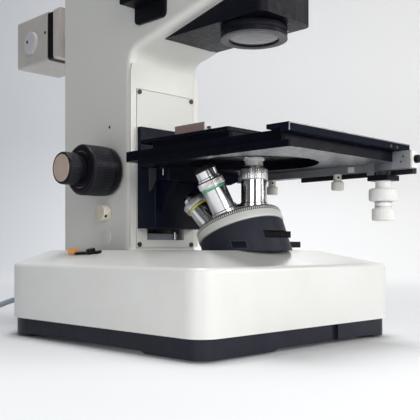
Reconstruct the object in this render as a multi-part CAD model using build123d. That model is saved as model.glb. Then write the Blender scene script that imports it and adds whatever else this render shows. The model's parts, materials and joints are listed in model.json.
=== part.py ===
from build123d import *
import math
import os

os.makedirs("parts", exist_ok=True)

# ---------------------------------------------------------------- dimensions
# millimetres; x across (right +), y from the base's front face to the back,
# z up from the table. YC moves the middle of the depth to the origin.
YC = 187.5
BASE_W2 = 129.5          # half width of the base
BASE_D = 300.0           # depth of the base
PLINTH_H = 17.8          # height of the black pan
RIM_Z = 69.5             # top of the straight cover walls
PLATEAU_Z = 82.6         # flat top of the cover
R_FRONT = 18.0           # front corner radius
R_REAR = 55.0            # rear corner radius
MARGIN = 52.5            # width of the sloping band
WALL = 4.0
COL_W2 = 45.4            # half width of column and arm
COL_Y0 = 185.0           # column front
COL_Y1 = 300.0           # column back
ARM_TOP = 400.0
ARM_Y0 = 10.0            # arm front
OPT_Y = 64.6             # optical axis
TILT = math.radians(22.5)  # nosepiece axis tilt
T0 = (0.0, 84.01, 108.68)  # nosepiece axis at the ring's upper edge
RING_R = 40.0
SEAT_W = 5.0             # seats above the ring edge, along the axis
SEAT_R = 23.14           # seat pitch radius
PORT_R = 10.16           # objective thread
FOC_Y, FOC_Z = 217.8, 161.3  # focus shaft
PIN_M, PIN_T = 1.0, 18   # focus pinion
YP_M, YP_T = 0.7, 17     # object guide pinion
YP_X, YP_Y = 79.75, -20.0
STAGE_Z0, STAGE_Z1 = 161.0, 173.0
LAMP_Z = 331.0
IMG_Z = 376.0
HEAD_C = (0.0, 54.0, 428.0)  # middle of the inclined head face
IPD2 = 32.0              # half distance between the eyepieces
CORD_D = 6.0

SA, CA = math.sin(TILT), math.cos(TILT)
AX = (0.0, SA, CA)
EB = (0.0, CA, -SA)


# ------------------------------------------------------------------- helpers
def box(x0, x1, y0, y1, z0, z1):
    return Pos((x0 + x1) / 2, (y0 + y1) / 2 - YC, (z0 + z1) / 2) * Box(x1 - x0, y1 - y0, z1 - z0)


def rbox(x0, x1, y0, y1, z0, z1, r, axis=Axis.Z):
    b = box(x0, x1, y0, y1, z0, z1)
    return fillet(b.edges().filter_by(axis), r)


def cyl(p, d, r, h):
    return Plane(origin=(p[0], p[1] - YC, p[2]), z_dir=d) * Pos(0, 0, h / 2) * Cylinder(r, h)


def rev_local(prof):
    pts = [(r, 0, h) for r, h in prof]
    return revolve(make_face(Polyline(*pts, close=True)), Axis.Z, 360)


def rev(p, d, prof):
    return Plane(origin=(p[0], p[1] - YC, p[2]), z_dir=d) * rev_local(prof)


def prism_x(pts, x0, x1):
    """Closed outline in y,z pushed from x0 to x1."""
    f = make_face(Polyline(*[(x0, y - YC, z) for y, z in pts], close=True))
    return extrude(f, amount=x1 - x0, dir=(1, 0, 0))


def prism_z(pts, z0, z1):
    f = make_face(Polyline(*[(x, y - YC, z0) for x, y in pts], close=True))
    return extrude(f, amount=z1 - z0, dir=(0, 0, 1))


def outline(d, z, dback=None):
    """Rounded base outline, inset by d (dback at the back), as a face at height z."""
    if dback is None:
        dback = d
    x = BASE_W2 - d
    y0, y1 = d, BASE_D - dback
    rf = max(R_FRONT - d, 6.0)
    rr = max(R_REAR - max(d, dback), 14.0)
    with BuildSketch(Plane.XY.offset(z)) as s:
        with BuildLine():
            Polyline((-x, y0 - YC), (x, y0 - YC), (x, y1 - YC), (-x, y1 - YC), close=True)
        make_face()
        v = s.vertices()
        fillet([q for q in v if q.Y < 0], rf)
        fillet([q for q in s.vertices() if q.Y > y1 - YC - 1e-3 and abs(abs(q.X) - x) < 1e-3], rr)
    return s.sketch


def hip(d, z0, zr, zp):
    """Base shape with straight walls to zr and a hipped top to zp."""
    wall = extrude(outline(d, z0), amount=zr - z0, dir=(0, 0, 1))
    lo = outline(d, zr).faces()[0]
    hi = outline(d + MARGIN, zp, dback=d + 14.0).faces()[0]
    return wall + loft([lo, hi], ruled=True)


def gear(m, n, h, phase, bl=0.12):
    """Spur gear along +Z from 0 to h; phase is the angle of a tooth's middle."""
    rp = m * n / 2
    rb, ra, rf = rp * math.cos(math.radians(20)), rp + m, rp - 1.25 * m
    inv = lambda a: math.tan(a) - a
    i20 = inv(math.radians(20))
    half = lambda r: math.pi / (2 * n) - bl / (2 * rp) + i20 - inv(math.acos(min(1.0, rb / r)))
    rs = [max(rb, rf) + (ra - max(rb, rf)) * k / 4 for k in range(5)]
    pts = []
    for k in range(n):
        t = phase + 2 * math.pi * k / n
        if rb > rf:
            pts.append((rf, t - half(rb) * 1.05))
        pts += [(r, t - half(r)) for r in rs]
        pts += [(r, t + half(r)) for r in reversed(rs)]
        if rb > rf:
            pts.append((rf, t + half(rb) * 1.05))
    f = make_face(Polyline(*[(r * math.cos(a), r * math.sin(a)) for r, a in pts], close=True))
    return extrude(f, amount=h)


def rack_pts(m, u0, u1, back, bl=0.12, mid=0.0):
    """Rack outline (u along, v across): pitch line v=0, teeth to +v, back at v=back; a tooth's middle at mid."""
    p = math.pi * m
    t20 = math.tan(math.radians(20))
    k0 = math.ceil((u0 - mid + p / 2) / p)
    k1 = math.floor((u1 - mid - p / 2) / p)
    pts = [(u0, back), (u0, -1.25 * m)]
    ht = p / 4 - bl / 2
    for k in range(k0, k1 + 1):
        c = mid + k * p
        pts += [(c - ht - 1.25 * m * t20, -1.25 * m), (c - ht + m * t20, m),
                (c + ht - m * t20, m), (c + ht + 1.25 * m * t20, -1.25 * m)]
    pts += [(u1, -1.25 * m), (u1, back)]
    return pts


TP = Plane(origin=(T0[0], T0[1] - YC, T0[2]), x_dir=(1, 0, 0), z_dir=AX)


def seat(phi):
    """Seat plane of the nosepiece place at angle phi (0 = in use)."""
    p = Vector(-SEAT_R * math.sin(phi), -SEAT_R * math.cos(phi), SEAT_W)
    d = Vector(-SA * math.sin(phi), -SA * math.cos(phi), CA)
    g = TP.from_local_coords(p)
    dg = TP.from_local_coords(d) - TP.from_local_coords(Vector(0, 0, 0))
    return Plane(origin=g, z_dir=dg)


SOLIDS = {}


def save(name, *shapes):
    sol = []
    for s in shapes:
        sol += list(s.solids())
    SOLIDS[name] = sol
    obj = sol[0] if len(sol) == 1 else Compound(children=sol)
    export_step(obj, "parts/%s.step" % name)


# ---------------------------------------------------------------------- base
pan = extrude(outline(3.0, 1.5), amount=PLINTH_H - 1.5, dir=(0, 0, 1))
pan -= extrude(outline(7.0, 12.0), amount=10, dir=(0, 0, 1))
pan -= extrude(outline(7.0, 0.0), amount=8.0, dir=(0, 0, 1))
for a, b, c in ((-52, 110, 3.3),):
    arch = [(a, -1), (a + 12, c), (b - 12, c), (b, -1)]
    f = make_face(Polyline(*[(x, -20 - YC, z) for x, z in arch], close=True))
    pan -= extrude(f, amount=340, dir=(0, 1, 0))
arch = [(60, -1), (72, 3.3), (238, 3.3), (250, -1)]
pan -= prism_x(arch, -140, 140)
pan -= box(33.0, 43.0, -1, 6.2, 0, 18)           # front slot
pan -= cyl((0, OPT_Y, 7), (0, 0, 1), 4.0, 6)
pan -= box(-COL_W2 - 0.5, COL_W2 + 0.5, COL_Y0, BASE_D + 2, 12.0, 30)
save("base_pan", pan)

feet = [cyl((x, y, 0), (0, 0, 1), 15.0, 8.0) for x, y in ((-101, 28), (101, 28), (-88, 262), (88, 262))]
save("rubber_feet", *feet)

cover = hip(0.0, PLINTH_H, RIM_Z, PLATEAU_Z)
try:
    rim = [e for e in cover.edges() if abs(e.center().Z - RIM_Z) < 0.01 and abs(e.bounding_box().size.Z) < 0.01]
    cover = fillet(rim, 4.0)
except Exception:
    print("rim fillet skipped")
cover -= hip(WALL, PLINTH_H - 1, RIM_Z - 2.0, PLATEAU_Z - WALL)
cover -= box(-COL_W2 - 0.5, COL_W2 + 0.5, COL_Y0 - 0.5, BASE_D + 2, 10, 100)
cover -= cyl((0, 72, 60), (0, 0, 1), 30.0, 40)
LEV = (-90.5, 187.5)
SLOPE = math.atan2(PLATEAU_Z - RIM_Z, MARGIN)
LEV_Z = RIM_Z + (LEV[0] + BASE_W2) * math.tan(SLOPE)
NS = (-math.sin(SLOPE), 0.0, math.cos(SLOPE))
TS = (math.cos(SLOPE), 0.0, math.sin(SLOPE))
cover -= cyl((LEV[0] - NS[0] * 10, LEV[1], LEV_Z - NS[2] * 10), NS, 2.55, 30)
cover -= cyl((-60, 290, 30), (0, 1, 0), 6.0, 20)
save("base_cover", cover)

# lever on the left slope, with its orange tip
lp = Plane(origin=(LEV[0], LEV[1] - YC, LEV_Z), x_dir=TS, z_dir=NS)
lang = math.atan2(36.1, -6.4)
arm = Rot(0, 0, math.degrees(lang)) * Pos(4.25, 0, 1.4) * Box(30.5, 5.0, 2.0)
lever = arm + Pos(0, 0, 2.65) * Cylinder(4.2, 4.5) + Pos(0, 0, -4.8) * Cylinder(2.5, 10.4)
lever += Pos(0, 0, -9.4) * Cylinder(5.0, 1.2)
save("base_lever", lp * lever)
tip = Rot(0, 0, math.degrees(lang)) * Pos(19.5, 0, 3.45) * Rot(0, 90, 0) * rev_local([(0, 0), (3.0, 0), (3.0, 1.5), (2.6, 9.0), (1.6, 10.0), (0, 10.0)])
save("lever_tip", lp * tip)

# ---------------------------------------------------------------- column, arm
und = lambda y: 280.0 + 0.2347 * (171.0 - y)
prof = [(COL_Y0, 12.0), (COL_Y1, 12.0), (COL_Y1, ARM_TOP), (26.0, ARM_TOP), (ARM_Y0, ARM_TOP - 24), (ARM_Y0, und(ARM_Y0)),
        (COL_Y0, und(COL_Y0))]
col = prism_x(prof, -COL_W2, COL_W2)


def tryfillet(s, sel, r, what):
    try:
        return fillet(sel(s), r)
    except Exception:
        print("fillet skipped:", what)
        return s


col = tryfillet(col, lambda s: [e for e in s.edges().filter_by(Axis.X) if abs(e.center().Y + YC - COL_Y0) < 0.1 and e.center().Z > 200], 12.0, "inner")
col = tryfillet(col, lambda s: [e for e in s.edges() if abs(abs(e.center().X) - COL_W2) < 0.01 and e.center().Z > 282 and e.center().Y + YC < 175
                                and abs(e.center().Z - und(e.center().Y + YC)) < 1.5], 8.0, "arm lower")
col = tryfillet(col, lambda s: [e for e in s.edges().filter_by(Axis.Z) if abs(abs(e.center().X) - COL_W2) < 0.01], 2.0, "vertical")
# hollow shaft, arm channel, focus chamber
col -= box(-36, 36, 244, 294, 20, 392)
col -= box(-36, 36, 24, 294, 322, 392)
col -= box(-32.2, 32.2, 26.6, 150.4, 250, 330)
col -= box(-30, 30, 180, 240, 88, 240)
col -= box(-38.6, 38.6, 180, 188, 84.8, 242.6)
col -= cyl((0, 180, 48), (0, 1, 0), 16.0, 80)      # light from the base
col -= cyl((0, 280, LAMP_Z), (0, 1, 0), 16.0, 30)  # light from the lamp
col -= cyl((0, 60, 385), (0, 0, 1), 16.0, 30)      # up to the head
col -= cyl((-60, FOC_Y, FOC_Z), (1, 0, 0), 7.56, 120)
col -= cyl((-60, 224.0, 120.5), (1, 0, 0), 3.05, 32)
col -= box(-60, 36, 139.5, 170.5, 319.5, 342.5)    # filter window and channel
save("column_arm", col)

panel = box(-38, 38, 184.6, 188.0, 85.4, 242.0)
panel -= box(-25, 25, 180, 190, 93.0, 202.6)
PS = [(sx * 35.2, z) for sx in (-1, 1) for z in (88.3, 239.2)]
for x, z in PS:
    panel -= cyl((x, 183, z), (0, 1, 0), 1.6, 8)
save("front_panel", panel)
scr = []
for x, z in PS:
    h = cyl((x, 183.4, z), (0, 1, 0), 2.4, 1.2) + cyl((x, 184.0, z), (0, 1, 0), 1.6, 4.0)
    scr.append(h - cyl((x, 183.0, z), (0, 1, 0), 1.1, 1.2))
save("panel_screws", *scr)

guide = box(-29.5, 29.5, 188.0, 204.0, 90, 238) - box(-22, 22, 187, 197, 80, 245) - box(-25, 25, 196, 205, 80, 245)
guide += box(-29.5, 29.5, 188.0, 204.0, 232, 238) + box(-29.5, 29.5, 190.0, 204.0, 90, 99.5)
save("slide_guide", guide)

# -------------------------------------------------------------- inner optics
m1 = prism_x([(50, 12), (84, 12), (84, 30), (54, 60), (50, 60)], -16, 16)
m1 -= cyl((0, OPT_Y, 5), (0, 0, 1), 4.0, 10)
m2 = prism_x([(246, 20), (282, 20), (282, 66), (246, 30)], -16, 16)
m3 = prism_x([(246, 392), (294, 392), (294, 344)], -16, 16)
m4 = prism_x([(50, 331.0), (64.6 - 0.0, 331.0), (82, 348.4), (82, 354), (50, 354)], -36, 36)
m5 = prism_x([(24, 356), (80, 356), (44, 392), (24, 392)], -15, 15)
save("fold_mirrors", m1, m2, m3, m4, m5)
c1 = rbox(-22, 22, 134, 146, 12, 66, 6, Axis.Y) - cyl((0, 130, 48), (0, 1, 0), 14.0, 20)
c2 = box(-36, 36, 244, 294, 214, 226) - cyl((0, 262, 210), (0, 0, 1), 14.0, 20)
save("lens_cells", c1, c2)
lens = lambda r: [(0, -4), (r * 0.5, -3.6), (r, -2), (r, 2), (r * 0.5, 3.6), (0, 4)]
l1 = rev((0, 140, 48), (0, 1, 0), lens(14.0))
l2 = rev((0, 262, 220), (0, 0, 1), lens(14.0))
l3 = rev((0, 322, LAMP_Z), (0, 1, 0), lens(15.0))
save("relay_lenses", l1, l2, l3)
save("transformer", rbox(58, 112, 120, 196, 12, 58, 4) + box(64, 106, 112, 204, 18, 52))

# ----------------------------------------------------------------- nosepiece
ped = TP * Pos(0, 0, -28.4) * Cylinder(39.6, 33.2)
ped -= box(-100, 100, -60, 250, 0, PLATEAU_Z)
ped += cyl((0, 72, 62), (0, 0, 1), 29.6, PLATEAU_Z - 62 + 3)
ped -= cyl((0, OPT_Y, 50), (0, 0, 1), 7.0, 90)
ped -= TP * Pos(0, 0, -14.6) * Cylinder(3.2, 6.4)
ped -= box(-15, 70, 10, 73.0, 93.7, 100.3)
ped += cyl((30, 66, 88.0), (1, 0, 0), 2.6, 34)
ped -= cyl((0, OPT_Y, 50), (0, 0, 1), 7.0, 42)
save("nosepiece_pedestal", ped)
psl = rbox(-14.6, 29.0, 44.0, 72.6, 94.0, 100.0, 2.5) - cyl((0, OPT_Y, 90), (0, 0, 1), 7.0, 20)
save("pedestal_slider", psl)
pivot = TP * rev_local([(0, -17.8), (3.2, -17.8), (3.2, -11.8), (9.0, -11.8), (9.0, -9.6), (5.96, -9.6), (5.96, 11.3), (9.0, 11.3), (9.0, 13.9), (8.0, 14.8), (0, 14.8)])
save("turret_pivot", pivot)

ring_p = [(33.5, -11.2), (39.0, -11.2), (RING_R, -10.2), (RING_R, -1.2), (39.0, 0.0), (33.5, 0.0)]
save("turret_ring", TP * rev_local(ring_p))
cone = lambda r: SEAT_W + (SEAT_R - r) * math.tan(TILT)
dome_p = [(6.0, -9.2), (6.0, 10.9), (11.0, cone(11.0) - 0.2), (33.5, cone(33.5) - 0.2), (33.5, -10.8), (30.0, -10.8), (30.0, cone(30) - 7.0),
          (14.0, cone(14) - 7.0), (14.0, -9.2)]
dome = TP * rev_local(dome_p)
PHI = [math.radians(a) for a in (0, 72, 144, 216, 288)]
for p in PHI:
    s = seat(p)
    dome += s * Pos(0, 0, -2.1) * Cylinder(13.6, 4.2)
dome -= TP * Pos(0, 0, -15.2) * Cylinder(30.0, 8.0)
dome -= TP * rev_local([(33.5, -14.0), (46.0, -14.0), (46.0, 0.05), (33.5, 0.05)])
for p in PHI:
    dome -= seat(p) * Pos(0, 0, -3.5) * Cylinder(PORT_R, 9.0)
dome -= TP * Pos(0, 0, 6) * Cylinder(6.0, 40)
save("turret_dome", dome)


def objective(phi, prof, bore):
    o = rev_local(prof)
    for r, a, b in bore:
        o -= Pos(0, 0, (a + b) / 2) * Cylinder(r, b - a)
    return seat(phi) * o


def oprof(L, rb, rk, rn, k0, k1):
    return [(0, -4.6), (10.1, -4.6), (10.1, 0), (rb + 0.9, 0), (rb + 0.9, 3.4), (rb, 4.2), (rb, k0 - 0.6), (rk, k0), (rk, k1), (rn + 0.9, k1 + 0.6),
            (rn + 0.9, k1 + 2.0), (rn, k1 + 2.6), (rn, L - 3.2), (rn - 2.4, L), (0, L)]


save("objective_high", objective(PHI[0], oprof(44.27, 11.7, 12.6, 9.3, 24.37, 33.87), [(6.0, -5, 20), (4.0, 19, 40.5)]))
save("objective_medium", objective(PHI[1], oprof(46.4, 11.2, 12.2, 10.0, 26.37, 32.87), [(6.0, -5, 20), (4.0, 19, 42.5)]))
save("objective_low", objective(PHI[2], oprof(36.87, 10.8, 11.9, 8.4, 22.87, 29.37), [(6.0, -5, 18), (4.0, 17, 33)]))
save("objective_scan", objective(PHI[3], oprof(28.87, 10.8, 11.9, 9.0, 15.87, 21.87), [(6.0, -5, 12), (4.0, 11, 25)]))

# --------------------------------------------------------------------- focus
RACK_Y = FOC_Y - PIN_M * PIN_T / 2
slide = box(-37.6, 37.6, 157.6, 184.3, 104, 161.0)
slide = fillet([e for e in slide.edges().filter_by(Axis.Z) if e.center().Y + YC < 160], 1.2)
slide += box(-37.6, 37.6, 179.0, 184.3, 161.0, 204.0)
slide += box(-21.6, 21.6, 184.3, 197.0, 104, 190)
slide += box(-24.6, 24.6, 196.5, 203.4, 104, 190)
rp = rack_pts(PIN_M, 138.0, 184.0, 203.0 - RACK_Y, mid=FOC_Z)
slide += prism_x([(RACK_Y + v, u) for u, v in rp], -5, 5)
save("focus_slide", slide)

csh = cyl((-82.8, FOC_Y, FOC_Z), (1, 0, 0), 7.5, 165.6)
gp = Plane(origin=(-5.5, FOC_Y - YC, FOC_Z), x_dir=(0, 1, 0), z_dir=(1, 0, 0))
# the rack lies at -y of the shaft: a tooth gap faces it
csh += gp * gear(PIN_M, PIN_T, 11.0, math.pi + math.pi / PIN_T)
csh -= cyl((-90, FOC_Y, FOC_Z), (1, 0, 0), 3.55, 180)
save("coarse_shaft", csh)
ck = [(7.5, 0.0), (18.0, 0.0), (21.8, 1.2), (24.0, 4.0), (24.6, 8.0), (24.6, 34.2), (23.4, 36.2), (21.0, 37.0), (18.2, 37.0), (18.2, 35.8), (17.4, 35.8),
      (17.4, 37.4), (7.5, 37.4)]
save("coarse_knobs", rev((-COL_W2 - 0.6, FOC_Y, FOC_Z), (-1, 0, 0), ck), rev((COL_W2 + 0.6, FOC_Y, FOC_Z), (1, 0, 0), ck))
save("fine_shaft", cyl((-101, FOC_Y, FOC_Z), (1, 0, 0), 3.5, 202))
fk_ = [(3.5, 38.0), (13.0, 38.0), (13.0, 42.6), (14.8, 43.4), (15.4, 44.2), (15.4, 56.8), (14.8, 57.8), (13.6, 57.9), (13.4, 57.2), (0, 57.2), (0, 55.6), (3.5, 55.6)]
save("fine_knobs", rev((-COL_W2 - 0.6, FOC_Y, FOC_Z), (-1, 0, 0), fk_), rev((COL_W2 + 0.6, FOC_Y, FOC_Z), (1, 0, 0), fk_))
tk = [(0, -9.0), (3.0, -9.0), (3.0, 0.5), (8.2, 0.5), (8.4, 1.2), (8.3, 8.0), (7.6, 8.8), (0, 8.8)]
save("tension_knob", rev((-COL_W2, 224.0, 120.5), (-1, 0, 0), tk))

# --------------------------------------------------------------------- stage
shelf = box(-37.6, 61.0, 138, 157.6, 149, 161)
shelf = fillet([e for e in shelf.edges().filter_by(Axis.Z) if e.center().Y + YC < 140], 4.0)
end = make_face(Polyline((44.0, 130 - YC, 148.0), (62.0, 130 - YC, 148.0), (62.0, 130 - YC, 154.5), close=True))
shelf -= extrude(end, amount=40, dir=(0, 1, 0))
for sx in (-1, 1):
    shelf += prism_x([(157.6, 118), (157.6, 150), (140, 150)], *sorted((sx * 24, sx * 31)))
save("stage_bracket", shelf)

stage = rbox(-75, 79, -31, 157, STAGE_Z0, STAGE_Z1, 3.0)
stage += rbox(-80, -70, -40.5, 133, 158.6, 164.0, 1.5)
stage -= cyl((0, OPT_Y, 150), (0, 0, 1), 58.5, 30)
stage += cyl((0, OPT_Y, STAGE_Z0 + 2), (0, 0, 1), 64.0, 6.2) - cyl((0, OPT_Y, 150), (0, 0, 1), 58.5, 30)
stage -= cyl((0, OPT_Y, 169.2), (0, 0, 1), 60.0, 10)
stage -= box(-76, -39, 134, 158, 160, 164)
save("stage_plate", stage)
ins = cyl((0, OPT_Y, 169.2), (0, 0, 1), 59.8, 3.8) - rev((0, OPT_Y, 169.2), (0, 0, 1), [(0, -1), (20.0, -1), (20.0, 0), (14.0, 2.2), (14.0, 5), (0, 5)])
save("stage_insert", ins)
rail = box(79, 86, -25, 150, 164, 168)
save("guide_rail", rail)
beam = box(80, 91, -47, 160, 154.5, 170.6) - box(70, 86.4, -50, 170, 163.6, 168.4)
save("guide_beam", beam)
brk = rbox(71, 91, -30, -8.5, 145.2, 149.8, 1.0) + box(71, 73.0, -15, -8.5, 149.0, 161.0)
brk -= cyl((YP_X, YP_Y, 130), (0, 0, 1), 5.06, 30)
save("knob_bracket", brk)
RX = YP_X + YP_M * YP_T / 2
rp = rack_pts(YP_M, -48.0, 78.0, -(89.0 - RX), mid=YP_Y)
save("rack_bar", prism_z([(RX - v, u) for u, v in rp], 150.2, 154.5))
yk = cyl((YP_X, YP_Y, 127), (0, 0, 1), 5.0, 26.8)
yk += Plane(origin=(YP_X, YP_Y - YC, 150.4), x_dir=(1, 0, 0), z_dir=(0, 0, 1)) * gear(YP_M, YP_T, 3.4, math.pi / YP_T)
yk += rev((YP_X, YP_Y, 0), (0, 0, 1), [(0, 126.6), (11.6, 126.6), (12.7, 127.6), (12.7, 137.0), (11.8, 138.0), (7.0, 138.0), (7.0, 144.9), (0, 144.9)])
yk -= cyl((YP_X, YP_Y, 100), (0, 0, 1), 2.06, 80)
save("y_knob", yk)
xk = cyl((YP_X, YP_Y, 112), (0, 0, 1), 2.0, 42)
xk += rev((YP_X, YP_Y, 0), (0, 0, 1), [(0, 109.4), (9.2, 109.4), (10.0, 110.2), (10.0, 119.6), (9.2, 120.6), (7.6, 120.6), (7.6, 126.2), (0, 126.2)])
save("x_knob", xk)
cs = []
for y in (30.0, 111.0):
    c = rev((80.6, y, 0), (0, 0, 1), [(0, 139.5), (5.2, 139.5), (5.9, 140.2), (5.9, 147.0), (5.2, 147.6), (3.9, 148.0), (3.9, 154.5), (0, 154.5)])
    cs.append(c)
save("clamp_screws", *cs)
cross = box(-79.4, 91, -40, -18, 173.4, 176.9) + box(-79.4, 91, -40, -31.5, 170.6, 176.9)
cross = cross + box(80, 91, -40, -18, 170.6, 176.9)
cross -= box(-74, 74, -23.0, -17, 174.2, 175.9)
save("cross_rail", cross)
hold = box(-50, 26, -22.6, -15, 174.5, 175.6)
for x0 in (-50, 14):
    hold += box(x0, x0 + 12, -16, 40, 174.0, 177.0)
hold += rbox(-68, 34, 30, 128, 173.4, 179.6, 3)
hold += rbox(-72, 36, 28.5, 140, 179.5, 182.4, 2)
hold -= cyl((0, 68, 170), (0, 0, 1), 30.0, 30)
save("specimen_holder", hold)
save("holder_clamp", rbox(-45, -36, 83, 122, 182.4, 196.0, 1.0))

# ----------------------------------------------------------------- condenser
car = box(-32.2, 32.2, 27, 150.4, 285, 318)
car = fillet([e for e in car.edges().filter_by(Axis.Z) if e.center().Y + YC < 30], 9.0)
car += cyl((0, OPT_Y, 276.0), (0, 0, 1), 27.0, 10) + cyl((0, OPT_Y, 273.0), (0, 0, 1), 30.3, 3.6)
car -= cyl((0, OPT_Y, 260), (0, 0, 1), 22.6, 26)
car -= cyl((0, OPT_Y, 280), (0, 0, 1), 20.0, 60)
save("condenser_carrier", car)
save("condenser_lens", rev((0, OPT_Y, 0), (0, 0, 1), [(0, 274.6), (14, 274.9), (22.6, 275.6), (22.6, 282.0), (14, 284.6), (0, 286.0)]))
save("iris_ring", rev((0, OPT_Y, 0), (0, 0, 1), [(27.06, 277.0), (29.4, 277.0), (29.4, 278.4), (30.3, 278.6), (30.3, 280.2), (29.4, 280.4), (29.4, 281.4), (30.3, 281.6),
                                                 (30.3, 283.6), (29.4, 284.4), (27.06, 284.4)]))

# ------------------------------------------------------------- filter slider
fp = rbox(-48.4, -COL_W2, 132, 175.6, 299.5, 366, 5, Axis.X) - box(-60, -40, 139.5, 170.5, 319.5, 342.5)
save("slider_plate", fp)
fs = rbox(-67, -48.8, 132.4, 175.4, 315, 349, 2.5, Axis.X) + box(-50, 24, 140, 170, 320, 342)
fs -= cyl((0, 120, LAMP_Z), (0, 1, 0), 10.0, 80)
save("filter_slider", fs)

# ---------------------------------------------------------------------- lamp
fl = cyl((0, COL_Y1, LAMP_Z), (0, 1, 0), 24.0, 34.5) + rbox(-30.7, 30.7, 334, 345, 303, 360, 3, Axis.Y)
fl -= cyl((0, 290, LAMP_Z), (0, 1, 0), 15.0, 70)
save("lamp_flange", fl)
sk = rbox(-29.6, 29.6, 345, 358, 304.1, 358.9, 3, Axis.Y) - cyl((0, 330, LAMP_Z), (0, 1, 0), 15.0, 50)
sk += box(-8, 8, 358, 396, 306.2, 312) + cyl((0, 388, 308), (0, 0, 1), 7.0, 8)
save("lamp_socket", sk)
ho = rbox(-30.7, 30.7, 358, 423, 303, 360, 3, Axis.Y)
ho -= box(-27.7, 27.7, 350, 420, 306, 357)
for k in range(5):
    ho -= box(-20, 20, 368 + 10 * k, 372 + 10 * k, 350, 365)
ho -= cyl((-40, 389.5, 328.5), (1, 0, 0), 3.06, 20)
save("lamp_housing", ho)
save("lamp_bulb", rev((0, 388, 0), (0, 0, 1), [(0, 316), (4.5, 316), (4.5, 322), (7.0, 326), (8.0, 331), (7.0, 336), (4.0, 339.5), (0, 341)]))
save("lamp_knob", rev((-30.7, 389.5, 328.5), (-1, 0, 0), [(0, -6), (3.0, -6), (3.0, 0.4), (13.5, 0.4), (13.5, 3.4), (12.6, 4.2), (0, 4.2)]))

# ---------------------------------------------------------------------- head
hp = [(24, ARM_TOP), (150, ARM_TOP), (150, 438), (136, 452), (78, 452), (26, ARM_TOP)]
hp = [(28, ARM_TOP), (150, ARM_TOP), (150, 436), (134, 452), (78, 452), (28, 402)]
head = prism_x(hp, -52, 52)
head = tryfillet(head, lambda s: [e for e in s.edges() if abs(abs(e.center().X) - 52) < 0.01 and e.center().Z > 404 and e.center().Y + YC > 80], 7.0, "head")
HPL = Plane(origin=(HEAD_C[0], HEAD_C[1] - YC, HEAD_C[2]), x_dir=(1, 0, 0), z_dir=(0, -1, 1))
head -= cyl((0, 60, 395), (0, 0, 1), 16.0, 24)
head += HPL * Pos(0, 0, 1.8) * Box(100, 14.0, 4.6)
save("head_body", head)


def tube(x):
    t = HPL * Pos(x, 0, 8.6) * Box(52, 56, 16.0)
    t = fillet([e for e in t.edges() if abs((HPL.to_local_coords(e.center())).Z - 8.6) < 0.1], 12.0)
    t = fillet([e for e in t.edges() if HPL.to_local_coords(e.center()).Z > 16.5], 3.0)
    t += HPL * Pos(x, 0, 32) * Cylinder(15.0, 32)
    t -= HPL * Pos(x, 0, 38) * Cylinder(11.65, 44)
    t -= HPL * Pos(x, 0, 2.2) * Box(80, 14.6, 4.8)
    return t


def eyepiece(x, dz=0.0):
    p = [(0, 24.0), (11.6, 24.0), (11.6, 48.3), (16.0, 48.3), (16.5, 49.2), (16.5, 66.0), (15.6, 67.0), (15.6, 76.0), (17.2, 77.0), (17.2, 80.0), (15.0, 84.0), (11.0, 84.0),
         (10.0, 80.5), (0, 80.0)]
    return HPL * Pos(x, 0, dz) * rev_local(p)


save("tube_left", tube(-IPD2))
save("tube_right", tube(IPD2))
save("eyepiece_left", eyepiece(-IPD2))
save("eyepiece_right", eyepiece(IPD2, -0.3))

# ---------------------------------------------------------------------- cord
gl = rev((-60, 300, 30), (0, 1, 0), [(0, -8), (5.9, -8), (5.9, 0), (10.0, 0), (10.0, 6.0), (6.5, 8.0), (6.0, 14.0), (4.0, 34.0), (0, 34.0)])
save("cable_gland", gl)
COIL_C = (-190.0, 327.5)
COIL_R0, COIL_R1 = 25.5, 46.5   # innermost and outermost turn
route = [(-60, 334, 30), (-60, 348, 30), (-65.0, 361.6, 28.0), (-74.6, 372, 23.6), (-87.6, 377.8, 17.6), (-102.2, 378.6, 11.4), (-117, 377.4, 6.6),
         (-131.5, 375.6, 4.0), (-146, 374.4, 3.1), (-160, 374, 3.1), (-171, 374, 3.1)]
pts = [Vector(x, y - YC, z) for x, y, z in route]
radii = []
for a, b, c in zip(pts, pts[1:], pts[2:]):
    u, v = b - a, c - b
    turn = math.radians(u.get_angle(v))
    radii.append(0.45 * min(u.length, v.length) / math.tan(turn / 2))
print("cord radii", [round(r, 1) for r in radii])
path = FilletPolyline(*pts, radius=radii)
prof_c = Plane(origin=pts[0], z_dir=pts[1] - pts[0]) * Circle(CORD_D / 2)
cord = sweep(prof_c, path=path)
print("cord length", round(path.length, 1), "volume ratio", round(cord.volume / (math.pi * 9 * path.length), 4))
PX = COIL_C[0] - COIL_R1
lead = cyl((PX, 310.0, 9.6), (0, -1, 0), CORD_D / 2, 14.0)
save("cord_tube", cord, lead)
coil = rev((COIL_C[0], COIL_C[1], 0), (0, 0, 1), [(COIL_R0 - 3.1, 0.05), (COIL_R1 + 3.1, 0.05), (COIL_R1 + 3.1, 12.6), (COIL_R0 - 3.1, 12.6)])
save("cord_coil", coil)
plug = rev((PX, 296.0, 9.6), (0, -1, 0), [(0, 0), (4.2, 0), (5.4, 14.0), (5.4, 17.0), (0, 17.0)])
plug += rbox(PX - 13, PX + 13, 246, 282, 0.2, 19, 5, Axis.Y)
for dx in (-9.5, 9.5):
    plug += cyl((PX + dx, 246, 9.6), (0, -1, 0), 2.4, 19)
save("plug", plug)

# overall size without the cord
lo = [1e9] * 3
hi = [-1e9] * 3
for n, ss in SOLIDS.items():
    if n in ("cord_tube", "cord_coil", "plug", "cable_gland"):
        continue
    for s in ss:
        b = s.bounding_box()
        for i, (a, c) in enumerate(zip((b.min.X, b.min.Y, b.min.Z), (b.max.X, b.max.Y, b.max.Z))):
            lo[i] = min(lo[i], a)
            hi[i] = max(hi[i], c)
print("box", [round(v, 2) for v in lo], [round(v, 2) for v in hi], "nodes", len(SOLIDS))
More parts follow.
